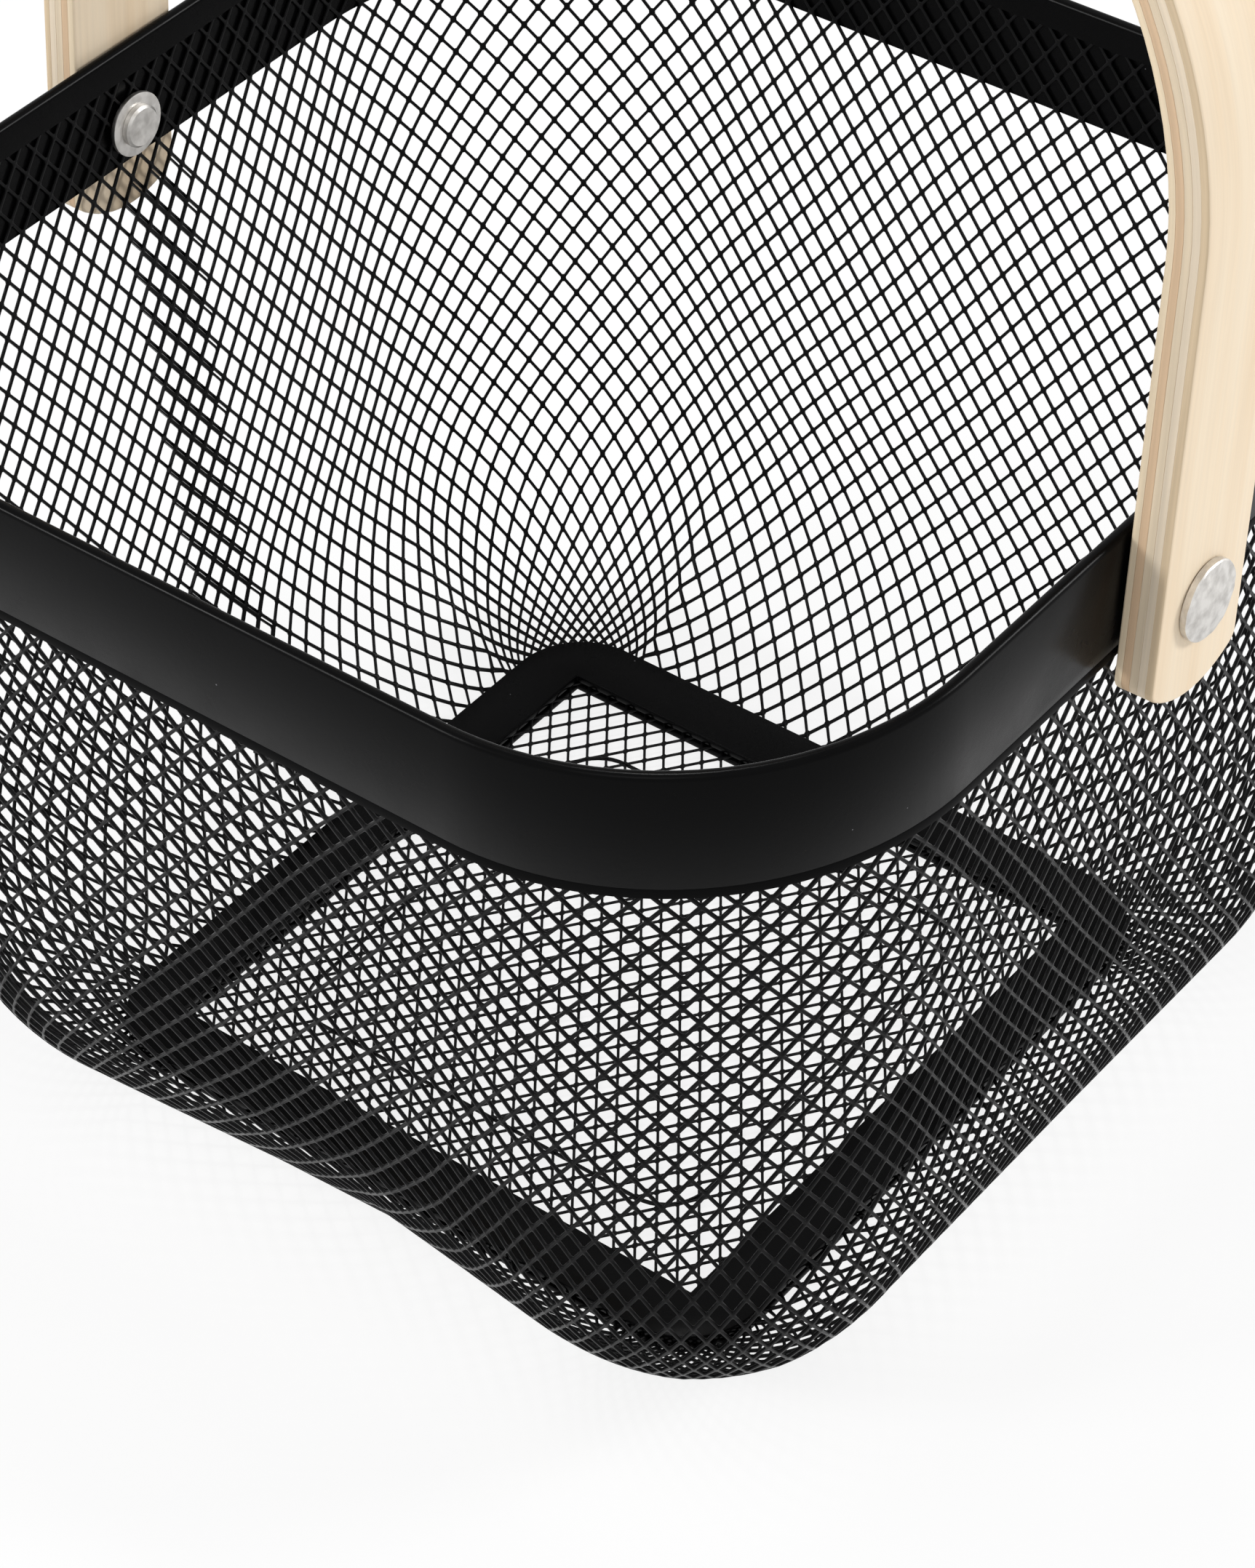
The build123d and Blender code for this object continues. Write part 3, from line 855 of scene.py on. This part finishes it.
def legOutline(x):
    # Parallel sides and a gently curved lower end
    sag, half = handle["tip"] - handle["shoulder"], handle["half"]
    radius = (half ** 2 + sag ** 2) / (2 * sag)
    sweep = math.asin(half / radius)
    low = pivotHeight - handle["tip"]
    curve = [(x, radius * math.sin(angle), low + radius * (1 - math.cos(angle)))
             for angle in np.linspace(-sweep, sweep, handle["tipSteps"])]
    return [(x, -half, bendHeight)] + curve + [(x, half, bendHeight)]


def hoopPlaces(points):
    # Side, length from the middle of the bar and distance from the bend's middle line
    side, x, z = np.sign(points[:, 0]), np.abs(points[:, 0]), points[:, 2]
    beyond, above = x - bendReach, z - bendHeight
    onLeg, onBar = above < 0, beyond < 0
    depth = np.where(onLeg, beyond, np.where(onBar, above, np.hypot(beyond, above)))
    angle = np.arctan2(np.maximum(beyond, 0), np.maximum(above, 1e-9))
    legLength = bendReach + handle["bend"] * math.pi / 2 - above
    bendLength = bendReach + handle["bend"] * angle
    length = np.where(onLeg, legLength, np.where(onBar, x, bendLength))
    return side, length, depth


def makeVeneer(index):
    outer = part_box(f"handle_ply_{index + 1}")[1].x
    veneer = drawChain(legOutline(outer))
    closeChain(veneer, True)
    shoulder = pivotHeight - handle["shoulder"]
    editWhere(veneer, "vertices", lambda vertex: abs(vertex.co.z - shoulder) < touch)
    bpy.ops.mesh.bevel(offset=handle["endBreak"], segments=handle["breakSteps"], affect="VERTICES")
    bpy.ops.mesh.select_all(action="SELECT")
    pushOut(x=-handle["gauge"])
    leaveEdit()
    tidyShell(veneer)
    editWhere(veneer, "polygons", lambda face: face.normal.z > 0.9)
    bpy.ops.mesh.spin(steps=handle["bendSteps"], angle=math.pi / 2, center=(bendReach, 0, bendHeight),
                      axis=(0, 1, 0))
    pushOut(x=-bendReach)
    bpy.ops.mesh.delete(type="FACE")
    leaveEdit()
    mirror = veneer.modifiers.new("mirror", "MIRROR")
    mirror.merge_threshold = touch
    applyModifiers(veneer)
    tidyShell(veneer)
    roundVeneer(veneer, index)
    drillPivot(veneer, handle["bore"])
    return veneer


def roundVeneer(veneer, index):
    # The hoop's outer and inner faces have rounded edges, and the veneers between only a fine break
    if 0 < index < handle["veneers"] - 1:
        softenEdges(veneer, handle["fineEdge"], 1, handle["fineAngle"])
        return
    points = flatPoints(veneer)
    _, _, depth = hoopPlaces(points)
    facing = depth > depth.max() - touch if index == 0 else depth < depth.min() + touch
    beside = np.abs(points[:, 1]) > handle["half"] - touch
    low = points[:, 2] < pivotHeight - handle["shoulder"] + handle["endReach"]

    def onEdge(edge):
        first, second = edge.vertices
        sameSide = beside[first] and beside[second] and points[first, 1] * points[second, 1] > 0
        return facing[first] and facing[second] and (sameSide or (low[first] and low[second]))

    editWhere(veneer, "edges", onEdge)
    bpy.ops.mesh.bevel(offset=handle["edge"], segments=handle["edgeSteps"], affect="EDGES")
    leaveEdit()


def grainPlaces(veneer):
    # Length along the hoop, place across it and depth, for the grain to follow
    points = flatPoints(veneer)
    side, length, depth = hoopPlaces(points)
    grain = veneer.data.attributes.new("grainPlace", "FLOAT_VECTOR", "POINT")
    values = np.stack([side * length, points[:, 1], depth], axis=1)
    grain.data.foreach_set("vector", values.astype(np.float32).ravel())


def isCutEdge(face):
    # The veneer's long sides and its lower end show the wood's cut edge
    low = face.center.z < pivotHeight - handle["cutHeight"]
    return abs(face.normal.y) > 0.6 or (low and abs(face.normal.x) < 0.6)


leanBack = (Matrix.Translation((0, 0, pivotHeight)) @ Matrix.Rotation(-math.radians(handle["lean"]), 4, "X")
            @ Matrix.Translation((0, 0, -pivotHeight)))
for index in range(handle["veneers"]):
    veneer = makeVeneer(index)
    grainPlaces(veneer)
    finishPiece(veneer, f"birchVeneer{index + 1}", "handle", "birch_veneer", birchFace, birchEdges[index])
    for face in veneer.data.polygons:
        face.material_index = 1 if isCutEdge(face) else 0
    smoothEdges(veneer, handle["smooth"])
    veneer.data.transform(leanBack)
    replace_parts(veneer, f"handle_ply_{index + 1}")
print("handle made")

# Rivets and washers
rivet = {"headRadius": 8.1 * mm, "rim": 1.7 * mm, "backEdge": 0.2 * mm, "rimEdge": 0.3 * mm,
         "faceEdge": 0.25 * mm, "domeRadius": 7.4 * mm, "dome": 0.6 * mm, "domePower": 2.4,
         "domeShares": (0.97, 0.9, 0.8, 0.65, 0.5, 0.33, 0.16, 0.0), "shank": 2.5 * mm,
         "tailRadius": 4.6 * mm, "tail": 1.6 * mm, "tailEdge": 0.5 * mm, "steps": 64, "smooth": 32}
dent = {"depth": 0.06 * mm, "fromShare": 0.85, "height": 0.5 * mm,
        "waves": ((5, 0, 1, 1.0), (11, 0, 0, 0.6), (17, 0, 2, 0.5))}
washer = {"bore": 2.6 * mm, "edge": 0.15 * mm, "seat": 0.05 * mm, "spacer": 0.5 * mm, "inner": 1.0 * mm,
          "steps": 48, "smooth": 40}


def makeRivets():
    # Clinched tail, shank and a broad head with a low dome
    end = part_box("pivot_rivets")[1].x
    edge = end - rivet["dome"]
    seat = edge - rivet["rim"]
    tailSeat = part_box("inner_washers")[1].x - washer["inner"] - washer["seat"]
    tail = tailSeat - rivet["tail"]
    dome = [(edge + rivet["dome"] * (1 - share ** rivet["domePower"]), rivet["domeRadius"] * share)
            for share in rivet["domeShares"]]
    profile = [(tail, 0), (tail, rivet["tailRadius"] - rivet["tailEdge"]),
               (tail + rivet["tailEdge"], rivet["tailRadius"]), (tailSeat, rivet["tailRadius"]),
               (tailSeat, rivet["shank"]), (seat, rivet["shank"]),
               (seat, rivet["headRadius"] - rivet["backEdge"]),
               (seat + rivet["backEdge"], rivet["headRadius"]),
               (edge - rivet["rimEdge"], rivet["headRadius"]),
               (edge, rivet["headRadius"] - rivet["faceEdge"])] + dome
    rivets = drawChain([(x, 0, pivotHeight + radius) for x, radius in profile])
    spinOnPivot(rivets, rivet["steps"])
    dentHead(rivets, edge)
    addTwin(rivets)
    smoothEdges(rivets, rivet["smooth"])
    return rivets


def dentHead(rivets, edge):
    # The setting tool leaves the head's rim a little uneven
    points = flatPoints(rivets)
    across = np.hypot(points[:, 1], points[:, 2] - pivotHeight)
    around = np.arctan2(points[:, 1], points[:, 2] - pivotHeight)
    onRim = (across > rivet["domeRadius"] * dent["fromShare"]) & (points[:, 0] > edge - dent["height"])
    points[:, 0] += np.where(onRim, dent["depth"] * sumWaves(around, 0, dent["waves"]), 0)
    rivets.data.vertices.foreach_set("co", points.astype(np.float32).ravel())


def makeWashers(node, gauge):
    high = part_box(node)[1]
    low = high.x - gauge
    profile = [(low, washer["bore"]), (low, high.y), (high.x, high.y), (high.x, washer["bore"])]
    washers = drawChain([(x, 0, pivotHeight + reach) for x, reach in profile])
    closeChain(washers, False)
    spinOnPivot(washers, washer["steps"])
    softenEdges(washers, washer["edge"])
    addTwin(washers)
    smoothEdges(washers, washer["smooth"])
    return washers


spacers = makeWashers("spacer_washers", washer["spacer"])
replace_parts(finishPiece(spacers, "spacerWashers", "basket", "washer_nylon", blackNylon), "spacer_washers")
innerWashers = makeWashers("inner_washers", washer["inner"])
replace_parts(finishPiece(innerWashers, "innerWashers", "basket", "rivet_steel", brightSteel),
            "inner_washers")
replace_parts(finishPiece(makeRivets(), "pivotRivets", "basket", "rivet_steel", brightSteel), "pivot_rivets")
print("rivets and washers made")

# Pale floor, plain soft lamps and a white surround
studio = {"floorSize": 12, "floorColour": (0.93, 0.93, 0.93), "floorRough": 0.9, "floorSpecular": 0.1,
          "floorWhite": 0.80, "world": 0.55, "aim": (0, 0, 0.1),
          "lamps": (("rightLamp", (1.6, 1.5, 1.05), 0.6, 26), ("leftLamp", (-1.3, -1.9, 1.15), 0.6, 28),
                    ("frontLamp", (0.9, -1.9, 2.2), 1.2, 9), ("topLamp", (-0.4, 0.5, 2.2), 0.3, 11))}


def seenByEye(tree):
    # 1 for the rays of the camera, of a reflection and of a clear surface
    path = addNode(tree, "ShaderNodeLightPath")
    seen = path.outputs["Is Camera Ray"]
    for kind in ("Is Glossy Ray", "Is Transmission Ray"):
        larger = addNode(tree, "ShaderNodeMath", operation="MAXIMUM")
        tree.links.new(seen, larger.inputs[0])
        tree.links.new(path.outputs[kind], larger.inputs[1])
        seen = larger.outputs[0]
    return seen


def levelOn(tree, value, low, high):
    level = addNode(tree, "ShaderNodeMapRange")
    level.inputs["To Min"].default_value = low
    level.inputs["To Max"].default_value = high
    tree.links.new(value, level.inputs["Value"])
    return level.outputs["Result"]


def makeStage():
    clearSelection()
    bpy.ops.mesh.primitive_plane_add(size=studio["floorSize"], location=(0, 0, 0))
    stage = bpy.context.object
    stage.name = "paleFloor"
    # White paper that keeps the shadow, seen lighter than it lights the basket
    material, tree, shader = newMaterial("palePaper")
    shader.inputs["Base Color"].default_value = (*studio["floorColour"], 1)
    shader.inputs["Roughness"].default_value = studio["floorRough"]
    shader.inputs["Specular IOR Level"].default_value = studio["floorSpecular"]
    white = addNode(tree, "ShaderNodeEmission")
    both = addNode(tree, "ShaderNodeMixShader")
    tree.links.new(levelOn(tree, seenByEye(tree), 0, studio["floorWhite"]), both.inputs[0])
    tree.links.new(shader.outputs[0], both.inputs[1])
    tree.links.new(white.outputs[0], both.inputs[2])
    tree.links.new(both.outputs[0], tree.nodes["Material Output"].inputs["Surface"])
    stage.data.materials.append(material)


def makeWorld():
    # White where the camera, a reflection or a clear surface sees it, and a plain level of light elsewhere
    world = bpy.data.worlds.new("surround")
    bpy.context.scene.world = world
    world.use_nodes = True
    tree = world.node_tree
    background = tree.nodes["Background"]
    tree.links.new(levelOn(tree, seenByEye(tree), studio["world"], 1), background.inputs["Strength"])
    background.inputs["Color"].default_value = (1, 1, 1, 1)


def makeLamps():
    for name, place, size, power in studio["lamps"]:
        lamp = bpy.data.lights.new(name, "AREA")
        lamp.size = size
        lamp.energy = power
        holder = bpy.data.objects.new(name, lamp)
        holder.location = place
        sight = Vector(studio["aim"]) - Vector(place)
        holder.rotation_euler = sight.to_track_quat("-Z", "Y").to_euler()
        bpy.context.scene.collection.objects.link(holder)


makeStage()
makeWorld()
makeLamps()
print("studio made")
